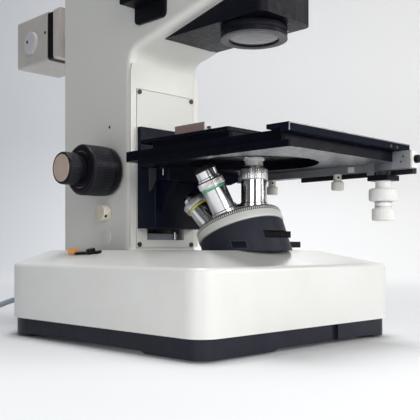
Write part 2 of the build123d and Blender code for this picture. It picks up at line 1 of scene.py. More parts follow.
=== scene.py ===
import json
import math
import bpy
import bmesh
from mathutils import Matrix, Vector


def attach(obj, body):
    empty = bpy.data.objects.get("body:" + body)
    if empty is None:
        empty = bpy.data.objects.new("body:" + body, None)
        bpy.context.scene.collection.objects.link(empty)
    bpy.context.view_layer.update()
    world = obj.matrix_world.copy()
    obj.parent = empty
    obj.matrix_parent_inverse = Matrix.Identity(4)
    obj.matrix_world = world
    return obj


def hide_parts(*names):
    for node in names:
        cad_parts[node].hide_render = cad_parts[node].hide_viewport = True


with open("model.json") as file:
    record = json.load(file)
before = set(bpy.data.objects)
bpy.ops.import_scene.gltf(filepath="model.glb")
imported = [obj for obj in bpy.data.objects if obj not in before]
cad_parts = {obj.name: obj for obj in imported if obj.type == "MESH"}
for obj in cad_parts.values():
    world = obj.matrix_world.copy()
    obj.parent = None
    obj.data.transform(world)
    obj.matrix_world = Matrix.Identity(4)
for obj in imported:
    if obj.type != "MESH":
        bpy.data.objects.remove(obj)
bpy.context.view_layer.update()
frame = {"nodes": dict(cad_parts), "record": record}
NODES = frame["nodes"]
YC = 187.5
scene = bpy.context.scene


def M(x, y, z):
    """Design millimetres (y from the base's front face) to metres in the shared frame."""
    return Vector((x / 1000.0, (y - YC) / 1000.0, z / 1000.0))


# ------------------------------------------------------------------ materials
def new_mat(name):
    m = bpy.data.materials.new(name)
    m.use_nodes = True
    nt = m.node_tree
    return m, nt, nt.nodes["Principled BSDF"]


def node(nt, kind, **vals):
    n = nt.nodes.new(kind)
    for k, v in vals.items():
        if k.startswith("i_"):
            n.inputs[k[2:].replace("_", " ")].default_value = v
        else:
            setattr(n, k, v)
    return n


def ramp(nt, fac, stops):
    r = nt.nodes.new("ShaderNodeValToRGB")
    el = r.color_ramp.elements
    el[0].position, el[0].color = stops[0][0], (*stops[0][1], 1)
    el[1].position, el[1].color = stops[1][0], (*stops[1][1], 1)
    for p, c in stops[2:]:
        e = el.new(p)
        e.color = (*c, 1)
    nt.links.new(fac, r.inputs["Fac"])
    return r.outputs["Color"]


def maprange(nt, fac, a, b, lo=0.3, hi=0.7):
    n = nt.nodes.new("ShaderNodeMapRange")
    n.inputs["From Min"].default_value = lo
    n.inputs["From Max"].default_value = hi
    n.inputs["To Min"].default_value = a
    n.inputs["To Max"].default_value = b
    nt.links.new(fac, n.inputs["Value"])
    return n.outputs["Result"]


def shade(col, k):
    return tuple(max(0.0, min(1.0, c * k)) for c in col)


def surface(name, col, rough, metallic=0.0, var=0.06, var_scale=35.0, rvar=0.06, grain=1800.0, bump=0.05,
            dist=0.00006, coat=0.0, tint=None, edge=None, streak=None, spec=0.5, aniso=0.0, under=None, above=None, front=None, side=None):
    """Coloured surface with patchy colour, uneven gloss, fine relief, and worn edges where edge is given; under
    paints faces turned downward a lighter colour with more specular as a painted reflection, kept to the front part
    where front is given, side paints faces turned to ±x darker as painted shade, and above gives a second colour from
    a height up.
    """
    m, nt, b = new_mat(name)
    L = nt.links.new
    tc = node(nt, "ShaderNodeTexCoord")
    src = tc.outputs["Object"]
    if streak is not None:
        mp = node(nt, "ShaderNodeMapping")
        mp.inputs["Scale"].default_value = streak
        L(src, mp.inputs["Vector"])
        fine_src = mp.outputs["Vector"]
    else:
        fine_src = src
    big = node(nt, "ShaderNodeTexNoise", i_Scale=var_scale, i_Detail=5.0, i_Roughness=0.6)
    L(src, big.inputs["Vector"])
    t = tint or col
    c_out = ramp(nt, big.outputs["Fac"], [(0.32, shade(t, 1 - var)), (0.68, shade(col, 1 + var))])
    fine = node(nt, "ShaderNodeTexNoise", i_Scale=grain, i_Detail=3.0, i_Roughness=0.55)
    L(fine_src, fine.inputs["Vector"])
    smudge = node(nt, "ShaderNodeTexNoise", i_Scale=var_scale * 2.7, i_Detail=6.0, i_Roughness=0.7)
    L(src, smudge.inputs["Vector"])
    L(maprange(nt, smudge.outputs["Fac"], max(0.02, rough - rvar), min(1.0, rough + rvar)), b.inputs["Roughness"])
    if edge is not None:
        bev = node(nt, "ShaderNodeBevel", samples=4, i_Radius=0.0007)
        geo = node(nt, "ShaderNodeNewGeometry")
        dot = node(nt, "ShaderNodeVectorMath", operation="DOT_PRODUCT")
        L(bev.outputs["Normal"], dot.inputs[0])
        L(geo.outputs["Normal"], dot.inputs[1])
        wear = node(nt, "ShaderNodeTexNoise", i_Scale=260.0, i_Detail=4.0)
        L(src, wear.inputs["Vector"])
        e = maprange(nt, dot.outputs["Value"], 1.0, 0.0, 0.80, 0.985)
        w = maprange(nt, wear.outputs["Fac"], 0.15, 1.0, 0.38, 0.62)
        mul = node(nt, "ShaderNodeMath", operation="MULTIPLY")
        L(e, mul.inputs[0])
        L(w, mul.inputs[1])
        mix = node(nt, "ShaderNodeMix", data_type="RGBA")
        L(mul.outputs[0], mix.inputs["Factor"])
        L(c_out, mix.inputs["A"])
        mix.inputs["B"].default_value = (*edge, 1)
        c_out = mix.outputs["Result"]
    mask = None
    # under: a painted reflection, downward faces mixed to a lighter grey as the bright base and floor below would
    # show in them
    if under is not None:
        geo2 = node(nt, "ShaderNodeNewGeometry")
        sep = node(nt, "ShaderNodeSeparateXYZ")
        L(geo2.outputs["Normal"], sep.inputs[0])
        mask, other = maprange(nt, sep.outputs["Z"], 1.0, 0.0, -0.95, -0.75), under
        # front: the painted reflection only toward the front, fading out over this band of y
        if front is not None:
            sep3 = node(nt, "ShaderNodeSeparateXYZ")
            L(src, sep3.inputs[0])
            both = node(nt, "ShaderNodeMath", operation="MULTIPLY")
            L(mask, both.inputs[0])
            L(maprange(nt, sep3.outputs["Y"], 1.0, 0.0, front[0], front[1]), both.inputs[1])
            mask = both.outputs[0]
    # side: painted shade, faces turned to ±x mixed to a darker colour
    if side is not None:
        geo4 = node(nt, "ShaderNodeNewGeometry")
        sep4 = node(nt, "ShaderNodeSeparateXYZ")
        L(geo4.outputs["Normal"], sep4.inputs[0])
        ab = node(nt, "ShaderNodeMath", operation="ABSOLUTE")
        L(sep4.outputs["X"], ab.inputs[0])
        mask, other = maprange(nt, ab.outputs[0], 0.0, 1.0, 0.70, 0.98), side
    if above is not None:
        sep = node(nt, "ShaderNodeSeparateXYZ")
        L(src, sep.inputs[0])
        mask, other = maprange(nt, sep.outputs["Z"], 0.0, 1.0, above[0], above[0] + 0.0002), above[1]
    if mask is not None:
        mix2 = node(nt, "ShaderNodeMix", data_type="RGBA")
        L(mask, mix2.inputs["Factor"])
        L(c_out, mix2.inputs["A"])
        mix2.inputs["B"].default_value = (*other[:3], 1)
        c_out = mix2.outputs["Result"]
        # the painted reflection also raises the specular on the downward faces
        if under is not None:
            L(maprange(nt, mask, spec, under[3], 0.0, 1.0), b.inputs["Specular IOR Level"])
    L(c_out, b.inputs["Base Color"])
    bp = node(nt, "ShaderNodeBump", i_Strength=bump, i_Distance=dist)
    L(fine.outputs["Fac"], bp.inputs["Height"])
    L(bp.outputs["Normal"], b.inputs["Normal"])
    b.inputs["Metallic"].default_value = metallic
    b.inputs["Specular IOR Level"].default_value = spec
    if coat:
        b.inputs["Coat Weight"].default_value = coat
        b.inputs["Coat Roughness"].default_value = 0.12
    if aniso:
        b.inputs["Anisotropic"].default_value = aniso
    return m


def glass(name, col, rough=0.03, tint=None):
    m, nt, b = new_mat(name)
    L = nt.links.new
    tc = node(nt, "ShaderNodeTexCoord")
    n = node(nt, "ShaderNodeTexNoise", i_Scale=300.0, i_Detail=4.0)
    L(tc.outputs["Object"], n.inputs["Vector"])
    L(maprange(nt, n.outputs["Fac"], rough * 0.6, rough * 1.8), b.inputs["Roughness"])
    L(ramp(nt, n.outputs["Fac"], [(0.3, shade(col, 0.96)), (0.7, col)]), b.inputs["Base Color"])
    b.inputs["Transmission Weight"].default_value = 1.0
    b.inputs["IOR"].default_value = 1.5
    return m


CREAM = surface("cream_enamel", (0.78, 0.785, 0.765), 0.34, var=0.018, var_scale=14, rvar=0.07, grain=1500, bump=0.06, coat=0.25, tint=(0.765, 0.765, 0.725))
# column enamel with painted shade: its faces turned to ±x are painted darker than its front
CREAM_COL = surface("cream_enamel_column_shaded_sides", (0.800, 0.803, 0.762), 0.40, var=0.022, var_scale=11, rvar=0.08, grain=1500, bump=0.06, coat=0.15, tint=(0.780, 0.776, 0.725), side=(0.600, 0.602, 0.570))
CREAM_PANEL = surface("cream_enamel_panel", (0.730, 0.735, 0.700), 0.40, var=0.015, var_scale=18, rvar=0.06, grain=1700, bump=0.05, coat=0.1)
BLACK = surface("black_enamel", (0.005, 0.0054, 0.0075), 0.40, var=0.18, var_scale=60, rvar=0.09, grain=2600, bump=0.10, edge=(0.022, 0.023, 0.028), spec=0.14)
# pedestal black, a little lighter than the other black enamel
PED = surface("black_enamel_greyish", (0.019, 0.0210, 0.032), 0.46, var=0.16, var_scale=40, rvar=0.09, grain=2400, bump=0.12, edge=(0.045, 0.046, 0.055), spec=0.24)
ANOD = surface("black_anodised", (0.0045, 0.0050, 0.0090), 0.42, var=0.2, var_scale=70, rvar=0.10, grain=3200, bump=0.08, edge=(0.022, 0.023, 0.03), spec=0.12)
# stage black with a painted reflection: downward faces near the front are painted lighter grey
STAGE_M = surface("stage_black_painted_under_reflection", (0.0030, 0.0032, 0.0075), 0.32, var=0.2, var_scale=60, rvar=0.08, grain=3000, bump=0.05, edge=(0.026, 0.028, 0.040), spec=0.075, under=(0.092, 0.097, 0.112, 0.6), front=(-0.172, -0.130))
RAIL_M = surface("rail_black", (0.0050, 0.0068, 0.0150), 0.45, var=0.2, var_scale=60, rvar=0.08, grain=3000, bump=0.05, edge=(0.016, 0.017, 0.024), spec=0.035)
SLIDE_M = surface("slide_black", (0.0025, 0.0040, 0.0130), 0.42, var=0.2, var_scale=55, rvar=0.10, grain=2600, bump=0.08, edge=(0.014, 0.015, 0.02), spec=0.12)
PAN = surface("pan_black", (0.0122, 0.0138, 0.0240), 0.44, var=0.15, var_scale=28, rvar=0.08, grain=2000, bump=0.15, edge=(0.030, 0.032, 0.04), spec=0.24)
BRACKET = surface("bracket_black", (0.0045, 0.005, 0.008), 0.42, var=0.2, var_scale=70, rvar=0.10, grain=3200, bump=0.08, spec=0.12, above=(0.1500, (0.150, 0.156, 0.170)))
BEAM = surface("grey_metal_beam", (0.235, 0.245, 0.265), 0.40, metallic=0.35, var=0.12, var_scale=45, rvar=0.08, grain=2200, bump=0.08, edge=(0.28, 0.28, 0.29))
BLOCK = surface("grey_block", (0.270, 0.276, 0.292), 0.42, metallic=0.2, var=0.12, var_scale=60, rvar=0.08, grain=2200, bump=0.06, edge=(0.30, 0.30, 0.31))
GUIDE_M = surface("guide_grey", (0.185, 0.205, 0.235), 0.42, metallic=0.3, var=0.08, var_scale=50, rvar=0.08, grain=2400, bump=0.05)
GREY = surface("grey_metal", (0.40, 0.41, 0.41), 0.36, metallic=0.75, var=0.07, var_scale=40, rvar=0.08, grain=2600, bump=0.06, edge=(0.55, 0.55, 0.55))
RING = surface("ring_metal", (0.70, 0.71, 0.67), 0.36, metallic=0.20, var=0.06, var_scale=45, rvar=0.08, grain=2600, bump=0.06, edge=(0.66, 0.66, 0.64))
RING_LIGHT = surface("ring_knurl", (0.76, 0.765, 0.74), 0.34, metallic=0.35, var=0.05, var_scale=45, rvar=0.06, grain=2600, bump=0.03)
# dark grey for the knurl valleys on the nosepiece ring: painted shade
RING_DARK = surface("ring_knurl_valley_shade", (0.11, 0.11, 0.105), 0.5, metallic=0.3, var=0.08, var_scale=45, rvar=0.06, grain=2600, bump=0.03)
STEEL = surface("bright_steel", (0.58, 0.58, 0.58), 0.26, metallic=1.0, var=0.05, var_scale=60, rvar=0.06, grain=2400, bump=0.05, streak=(1, 1, 0.05), aniso=0.3)
CHROME = surface("chrome", (0.76, 0.76, 0.77), 0.14, metallic=1.0, var=0.02, var_scale=80, rvar=0.03, grain=1600, bump=0.004)
CHROME_WORN = surface("chrome_worn", (0.68, 0.675, 0.67), 0.24, metallic=0.9, var=0.05, var_scale=110, rvar=0.05, grain=1800, bump=0.01)
SATIN = surface("satin_metal", (0.86, 0.86, 0.865), 0.20, metallic=0.45, var=0.05, var_scale=90, rvar=0.06, grain=1800, bump=0.02)
DOME_M = surface("dome_metal", (0.60, 0.60, 0.585), 0.32, metallic=0.45, var=0.05, var_scale=90, rvar=0.06, grain=1800, bump=0.02)
DARK_METAL = surface("dark_metal", (0.03, 0.03, 0.032), 0.34, metallic=0.4, var=0.15, var_scale=80, grain=2500, bump=0.05)
WHITE = surface("white_plastic", (0.80, 0.80, 0.785), 0.38, var=0.03, var_scale=120, rvar=0.06, grain=2600, bump=0.05, tint=(0.77, 0.765, 0.73))
# grey for the valleys between the white knob ribs: painted shade
WHITE_GAP = surface("white_plastic_groove_shade", (0.42, 0.42, 0.41), 0.5, var=0.03, var_scale=120, rvar=0.06, grain=2600, bump=0.03)
WHITE_Y = surface("white_knob_y", (0.80, 0.80, 0.785), 0.38, var=0.03, var_scale=120, rvar=0.06, grain=2600, bump=0.05, above=(0.1449, (0.012, 0.012, 0.015)))
IVORY = surface("ivory_plastic", (0.82, 0.80, 0.70), 0.40, var=0.05, var_scale=140, rvar=0.07, grain=2600, bump=0.04, tint=(0.74, 0.70, 0.58))
# a darker copy of the knob ivory for its end face: painted shade
IVORY_DIM = surface("ivory_end_shaded", (0.57, 0.52, 0.41), 0.46, var=0.05, var_scale=140, rvar=0.07, grain=2600, bump=0.04)
# grey metal for the rail's bright edge strips: partly worn metal, partly a painted highlight
EDGE_M = surface("worn_edge_and_highlight", (0.30, 0.31, 0.32), 0.42, metallic=0.6, var=0.2, var_scale=120, rvar=0.08, grain=2600, bump=0.04)
WHITE_OLD = surface("white_plastic_old", (0.66, 0.66, 0.62), 0.42, var=0.05, var_scale=140, rvar=0.07, grain=2600, bump=0.06, tint=(0.62, 0.60, 0.53))
KNOB = surface("black_knob", (0.0050, 0.0052, 0.0085), 0.42, var=0.15, var_scale=90, rvar=0.08, grain=2200, bump=0.12, spec=0.16)
GRIP = surface("black_grip", (0.0165, 0.0175, 0.0245), 0.36, var=0.15, var_scale=90, rvar=0.08, grain=2200, bump=0.08, spec=0.34)
TAN = surface("tan_disc", (0.450, 0.352, 0.290), 0.40, var=0.05, var_scale=160, rvar=0.05, grain=3000, bump=0.05)
BPLAST = surface("black_plastic", (0.0035, 0.0036, 0.006), 0.38, var=0.15, var_scale=70, rvar=0.08, grain=2600, bump=0.08, edge=(0.014, 0.014, 0.018), spec=0.10)
GPLAST = surface("grey_plastic", (0.468, 0.448, 0.420), 0.42, var=0.03, var_scale=30, rvar=0.06, grain=1900, bump=0.08, tint=(0.455, 0.430, 0.398))
LAMP_KNOB = surface("lamp_knob_grey", (0.525, 0.515, 0.535), 0.38, var=0.03, var_scale=40, rvar=0.06, grain=1900, bump=0.05)
FLANGE = surface("flange_grey", (0.500, 0.462, 0.435), 0.42, var=0.03, var_scale=30, rvar=0.06, grain=1900, bump=0.06)
ORANGE = surface("orange_plastic", (0.88, 0.36, 0.10), 0.32, var=0.06, var_scale=200, rvar=0.05, grain=2400, bump=0.03, coat=0.3)
RUBBER = surface("rubber", (0.016, 0.016, 0.017), 0.62, var=0.12, var_scale=90, rvar=0.08, grain=1800, bump=0.2)
CORDM = surface("cord_grey", (0.26, 0.32, 0.38), 0.50, var=0.06, var_scale=50, rvar=0.06, grain=1500, bump=0.08)
MAUVE = surface("mauve_metal", (0.40, 0.290, 0.260), 0.40, metallic=0.40, var=0.06, var_scale=90, rvar=0.08, grain=2200, bump=0.06, edge=(0.42, 0.36, 0.35))
IRON = surface("iron", (0.09, 0.09, 0.095), 0.55, metallic=0.5, var=0.1, var_scale=60, grain=1500, bump=0.15)
MIRROR = surface("mirror", (0.86, 0.87, 0.88), 0.04, metallic=1.0, var=0.01, rvar=0.02, bump=0.0)
GREEN = surface("green_band", (0.06, 0.42, 0.20), 0.34, var=0.06, var_scale=200, grain=2600, bump=0.03)
YELLOW = surface("yellow_band", (0.72, 0.62, 0.10), 0.36, var=0.06, var_scale=200, grain=2600, bump=0.03)
RED = surface("red_band", (0.55, 0.05, 0.04), 0.36, var=0.06, var_scale=200, grain=2600, bump=0.03)
# mid-grey for the condenser's downward annulus: painted light from the bright base below
RIM = surface("rim_grey_painted_light", (0.088, 0.089, 0.105), 0.42, var=0.12, var_scale=70, rvar=0.08, grain=2600, bump=0.05, spec=0.3)
PED_FRAME = surface("window_frame", (0.040, 0.042, 0.052), 0.40, var=0.1, var_scale=90, rvar=0.05, grain=1800, bump=0.02, spec=0.3)
PANE = surface("dark_pane", (0.0085, 0.010, 0.016), 0.36, var=0.1, var_scale=90, rvar=0.05, grain=1800, bump=0.02, spec=0.12)
GUSSET = surface("gusset_grey", (0.050, 0.052, 0.062), 0.45, var=0.15, var_scale=60, rvar=0.08, grain=2600, bump=0.08, edge=(0.05, 0.05, 0.06), spec=0.2)
DULL = surface("dull_brass", (0.095, 0.088, 0.068), 0.45, metallic=0.3, var=0.1, var_scale=120, rvar=0.06, grain=2400, bump=0.03)
# near-black for holes, sockets and rib valleys as painted shade in them, and for the printed scale marks and small
# dots
DARK = surface("painted_recess_shade_and_marks", (0.006, 0.006, 0.007), 0.7, var=0.1, grain=1500, bump=0.1)
GLASS = glass("lens_glass", (0.93, 0.96, 0.95))
FROST = surface("dull_lens", (0.105, 0.106, 0.127), 0.18, var=0.10, var_scale=60, rvar=0.05, grain=2600, bump=0.01, coat=0.1)
SKIRT = surface("cream_edge", (0.80, 0.805, 0.785), 0.34, var=0.015, grain=1500, bump=0.05)

SLOT_MAT = {
    "cream_enamel": CREAM, "black_enamel": BLACK, "black_anodised": ANOD, "pan_black": PAN, "grey_metal": GREY, "bright_steel": STEEL,
    "chrome": CHROME, "white_plastic": WHITE, "black_plastic": BPLAST, "grey_plastic": GPLAST, "orange_plastic": ORANGE, "brass": CHROME_WORN,
    "glass": GLASS, "mirror": MIRROR, "rubber": RUBBER, "cord_grey": CORDM, "mauve_metal": MAUVE, "transformer_iron": IRON,
}
NODE_MAT = {
    "column_arm": CREAM_COL, "front_panel": CREAM_PANEL, "nosepiece_pedestal": PED, "stage_plate": STAGE_M, "stage_insert": STAGE_M, "focus_slide": SLIDE_M,
    "stage_bracket": SLIDE_M, "guide_beam": BEAM, "coarse_knobs": KNOB, "fine_knobs": KNOB, "turret_ring": RING, "turret_dome": DOME_M, "tension_knob": IVORY,
    "lamp_flange": FLANGE, "lamp_knob": LAMP_KNOB, "condenser_lens": FROST, "panel_screws": DARK_METAL, "rack_bar": DARK_METAL, "clamp_screws": WHITE_OLD,
    "x_knob": WHITE, "y_knob": WHITE_Y, "cable_gland": RUBBER, "pedestal_slider": BPLAST, "specimen_holder": STAGE_M, "cross_rail": RAIL_M, "knob_bracket": BRACKET, "slide_guide": GUIDE_M,
}
for sp in frame["record"]["subparts"]:
    o = NODES[sp["node"]]
    o.data.materials.clear()
    o.data.materials.append(NODE_MAT.get(sp["node"], SLOT_MAT[sp["material_slot"]]))


# --------------------------------------------------------------- mesh helpers
def finish_mesh(name, bm, mats, body, smooth=None):
    me = bpy.data.meshes.new(name)
    bmesh.ops.recalc_face_normals(bm, faces=bm.faces)
    bm.to_mesh(me)
    bm.free()
    for m in mats:
        me.materials.append(m)
    ob = bpy.data.objects.new(name, me)
    scene.collection.objects.link(ob)
    if smooth is not None:
        for p in me.polygons:
            p.use_smooth = True
        me.set_sharp_from_angle(angle=math.radians(smooth))
    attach(ob, body)
    return ob


def basis(origin, axis, xdir=None):
    z = Vector(axis).normalized()
    x = Vector(xdir) if xdir is not None else (Vector((1, 0, 0)) if abs(z.x) < 0.9 else Vector((0, 1, 0)))
    x = (x - z * x.dot(z)).normalized()
    y = z.cross(x)
    m = Matrix((x, y, z)).transposed().to_4x4()
    m.translation = Vector(origin)
    return m


def lathe(bm, mat4, prof, seg=96, ribs=0, depth=0.0, closed=False, groove=None):
    """prof: list of (r, h, material, ribbed) in millimetres; ribbed rings swell and sink round the axis."""
    rings = []
    for p in prof:
        r, h = p[0], p[1]
        rib = len(p) > 3 and p[3]
        if r < 1e-6:
            rings.append([bm.verts.new(mat4 @ Vector((0, 0, h / 1000)))])
            continue
        ring = []
        for k in range(seg):
            a = 2 * math.pi * k / seg
            rr = r
            if rib and ribs:
                w = 0.5 + 0.5 * math.cos(a * ribs)
                rr = r - depth * (1 - min(1.0, w * 1.6))
            ring.append(bm.verts.new(mat4 @ Vector((rr * math.cos(a) / 1000, rr * math.sin(a) / 1000, h / 1000))))
        rings.append(ring)
    pairs = list(zip(range(len(rings)), range(1, len(rings))))
    if closed:
        pairs.append((len(rings) - 1, 0))
    for i, j in pairs:
        a, b = rings[i], rings[j]
        mi = prof[j][2] if len(prof[j]) > 2 else 0
        if len(a) == 1 and len(b) == 1:
            continue
        for k in range(seg):
            k2 = (k + 1) % seg
            if len(a) == 1:
                f = bm.faces.new((a[0], b[k2], b[k]))
            elif len(b) == 1:
                f = bm.faces.new((a[k], a[k2], b[0]))
            else:
                f = bm.faces.new((a[k], a[k2], b[k2], b[k]))
            f.material_index = mi
            # faces deep in a rib valley take the groove material: painted shade between the ribs
            if groove is not None and ribs and len(prof[j]) > 3 and prof[j][3] and len(prof[i]) > 3 and prof[i][3]:
                if 0.5 + 0.5 * math.cos((k + 0.5) * 2 * math.pi / seg * ribs) < 0.42:
                    f.material_index = groove


def rbox(bm, x0, x1, y0, y1, z0, z1, bev=0.4, mi=0, seg=2):
    """Bevelled block in design millimetres."""
    ret = bmesh.ops.create_cube(bm, size=1.0)
    vs = ret["verts"]
    c = M((x0 + x1) / 2, (y0 + y1) / 2, (z0 + z1) / 2)
    s = Vector(((x1 - x0) / 1000, (y1 - y0) / 1000, (z1 - z0) / 1000))
    for v in vs:
        v.co = Vector((v.co.x * s.x, v.co.y * s.y, v.co.z * s.z)) + c
    fs = list({f for v in vs for f in v.link_faces})
    for f in fs:
        f.material_index = mi
    if bev:
        es = list({e for v in vs for e in v.link_edges})
        r = bmesh.ops.bevel(bm, geom=es, offset=bev / 1000, segments=seg, profile=0.7, affect="EDGES")
        for f in r["faces"]:
            f.material_index = mi


def rib_sleeve(name, p, axis, r, h0, h1, n, depth, mat, body, proud=0.35, ends=0.5, seg_per=8, dark=None):
    """Ribbed grip around a round piece: p is on the axis, h0 to h1 along it, millimetres; dark, where given, colours
    the rib valleys as painted shade.
    """
    bm = bmesh.new()
    prof = [(r - 0.8, h0), (r - 0.1, h0), (r + proud, h0 + ends, 0, True), (r + proud, h1 - ends, 0, True), (r - 0.1, h1), (r - 0.8, h1)]
    lathe(bm, basis(M(*p), axis), prof, seg=n * seg_per, ribs=n, depth=depth, closed=True, groove=1)
    return finish_mesh(name, bm, [mat, dark or mat], body, smooth=35)


def disc(name, p, axis, prof, mat, body, seg=64, mats=None):
    bm = bmesh.new()
    lathe(bm, basis(M(*p), axis), prof, seg=seg)
    return finish_mesh(name, bm, mats or [mat], body, smooth=35)


def slot_screw(name, p, axis, r, h, mat, body, hexsock=True):
    """Small cap screw head with a shallow socket painted near-black as shade, standing h proud of p along axis."""
    bm = bmesh.new()
    prof = [(r, -0.6), (r, h - 0.25), (r - 0.25, h), (r * 0.5, h), (r * 0.5, h - min(0.9, h * 0.8), 1), (0, h - min(0.9, h * 0.8), 1)]
    lathe(bm, basis(M(*p), axis), prof, seg=36)
    return finish_mesh(name, bm, [mat, DARK], body, smooth=35)


# ---------------------------------------------------------- smooth CAD pieces
for name, o in NODES.items():
    me = o.data
    if name in ("cord_tube", "cord_coil"):
        continue
    for p in me.polygons:
        p.use_smooth = True

# --------------------------------------------------------------- focus knobs
FY, FZ = 217.8, 161.3
for sx, side in ((-1, "left"), (1, "right")):
    x = sx * 46.0
    # the valleys between the grip ribs are painted near-black as shade
    rib_sleeve("coarse_grip_" + side, (x, FY, FZ), (sx, 0, 0), 24.6, 12.6, 34.8, 84, 0.85, GRIP, "coarse", proud=0.30, dark=DARK)
    rib_sleeve("fine_grip_" + side, (x, FY, FZ), (sx, 0, 0), 15.4, 44.4, 56.6, 56, 0.7, GRIP, "fine", proud=0.25, dark=DARK)
    disc("fine_disc_" + side, (x, FY, FZ), (sx, 0, 0), [(13.2, 56.8), (13.2, 57.8), (12.9, 58.1), (0, 58.2)], TAN, "fine")
    bm = bmesh.new()
    lathe(bm, basis(M(x, FY, FZ), (sx, 0, 0)), [(17.42, 35.6), (18.18, 35.6), (18.18, 36.6), (17.42, 36.6)], seg=96, closed=True)
    finish_mesh("coarse_line_" + side, bm, [STEEL], "coarse", smooth=35)

# tension knob: knurl and set-screw socket, the socket a near-black disc as painted shade in the hole
rib_sleeve("tension_grip", (-45.4, 224.0, 120.5), (-1, 0, 0), 8.2, 1.6, 8.0, 44, 0.30, IVORY, "tension", proud=0.2)
disc("tension_socket", (-52.2, 224.0 - 8.1 * math.cos(0.45), 120.5 - 8.1 * math.sin(0.45)), (0, -math.cos(0.45), -math.sin(0.45)), [(1.5, -0.4), (1.5, 0.55), (0, 0.6)], DARK, "tension", seg=24)

# the knob's end face in darker ivory: painted shade on the face turned from the light
disc("tension_face", (-46.0, 224.0, 120.5), (-1, 0, 0), [(7.5, 8.5), (7.5, 8.85), (7.0, 9.0), (0, 9.05)], IVORY_DIM, "tension", seg=48)

# small screw and blanking plug on the column's left face
disc("column_dimple", (-45.4, 219.0, 207.0), (-1, 0, 0), [(8.5, -0.2), (8.5, 0.06), (8.0, 0.12), (5.0, 0.02), (0, 0.02)], CREAM_COL, "stand")
slot_screw("column_screw", (-45.4, 219.0, 207.0), (-1, 0, 0), 1.8, 0.35, STEEL, "stand")
disc("column_plug", (-45.4, 225.0, 96.0), (-1, 0, 0), [(8.0, -0.2), (8.0, 0.25), (7.6, 0.45), (0, 0.5)], CREAM_COL, "stand")
slot_screw("column_screw_right", (45.4, 219.0, 207.0), (1, 0, 0), 1.8, 0.35, STEEL, "stand")

# crisp front edges of the column
bm = bmesh.new()
COLY = 185.0
for sx in (-1, 1):
    poly = [(38.9, 86.0), (45.44, 86.0), (45.44, 256.0), (44.9, 261.0), (43.4, 266.5), (38.9, 266.5)]
    fr = [bm.verts.new(M(sx * x, COLY - 0.05, z)) for x, z in poly]
    bk = [bm.verts.new(M(sx * x, COLY + 2.4, z)) for x, z in poly]
    bm.faces.new(fr)
    bm.faces.new(list(reversed(bk)))
    for i in range(len(poly)):
        j = (i + 1) % len(poly)
        bm.faces.new((fr[i], bk[i], bk[j], fr[j]))
bmesh.ops.recalc_face_normals(bm, faces=bm.faces)
finish_mesh("column_edges", bm, [CREAM_COL], "stand")

# ----------------------------------------------------------------- nosepiece
TILT = math.radians(22.5)
SA, CA = math.sin(TILT), math.cos(TILT)
T0 = Vector((0.0, 84.01, 108.68))
AXD = Vector((0, SA, CA))
EB = Vector((0, CA, -SA))
TB = basis(M(*T0), AXD, (1, 0, 0))

bm = bmesh.new()
N = 132
for k in range(N):
    a = 2 * math.pi * k / N
    da = math.pi / N * 0.62
    vs = []
    for r, w in ((38.4, 0.12), (39.95, -1.1), (40.25, -1.9), (40.25, -3.6), (38.4, -3.6)):
        for s in (-1, 1):
            aa = a + s * da * (1.0 if r < 40.2 else 0.6)
            vs.append(bm.verts.new(TB @ Vector((r * math.cos(aa) / 1000, r * math.sin(aa) / 1000, w / 1000))))
    q = [vs[i:i + 2] for i in range(0, 10, 2)]
    for i in range(4):
        bm.faces.new((q[i][0], q[i][1], q[i + 1][1], q[i + 1][0]))
    bm.faces.new([p[0] for p in q])
    bm.faces.new([p[1] for p in reversed(q)])
finish_mesh("nosepiece_knurl", bm, [RING_LIGHT], "nosepiece")
# a dark ring just inside the knurl teeth, showing between them as painted shade in the valleys
bm = bmesh.new()
lathe(bm, TB, [(38.2, 0.06), (39.05, 0.05), (40.03, -1.12), (40.05, -1.9), (40.05, -4.0), (39.6, -4.1)], seg=160)
finish_mesh("nosepiece_groove", bm, [RING_DARK], "nosepiece", smooth=35)
bm = bmesh.new()
lathe(bm, TB, [(39.4, -4.8), (40.3, -5.1), (40.42, -5.8), (40.42, -10.2), (39.9, -10.9), (39.0, -11.1)], seg=160)
finish_mesh("nosepiece_skirt", bm, [RING], "nosepiece", smooth=35)


def seat(phi):
    p = T0 + Vector((-23.14 * math.sin(phi), 0, 0)) + EB * (-23.14 * math.cos(phi)) + AXD * 5.0
    d = Vector((-SA * math.sin(phi), 0, 0)) + EB * (-SA * math.cos(phi)) + AXD * CA
    return basis(M(*p), d)


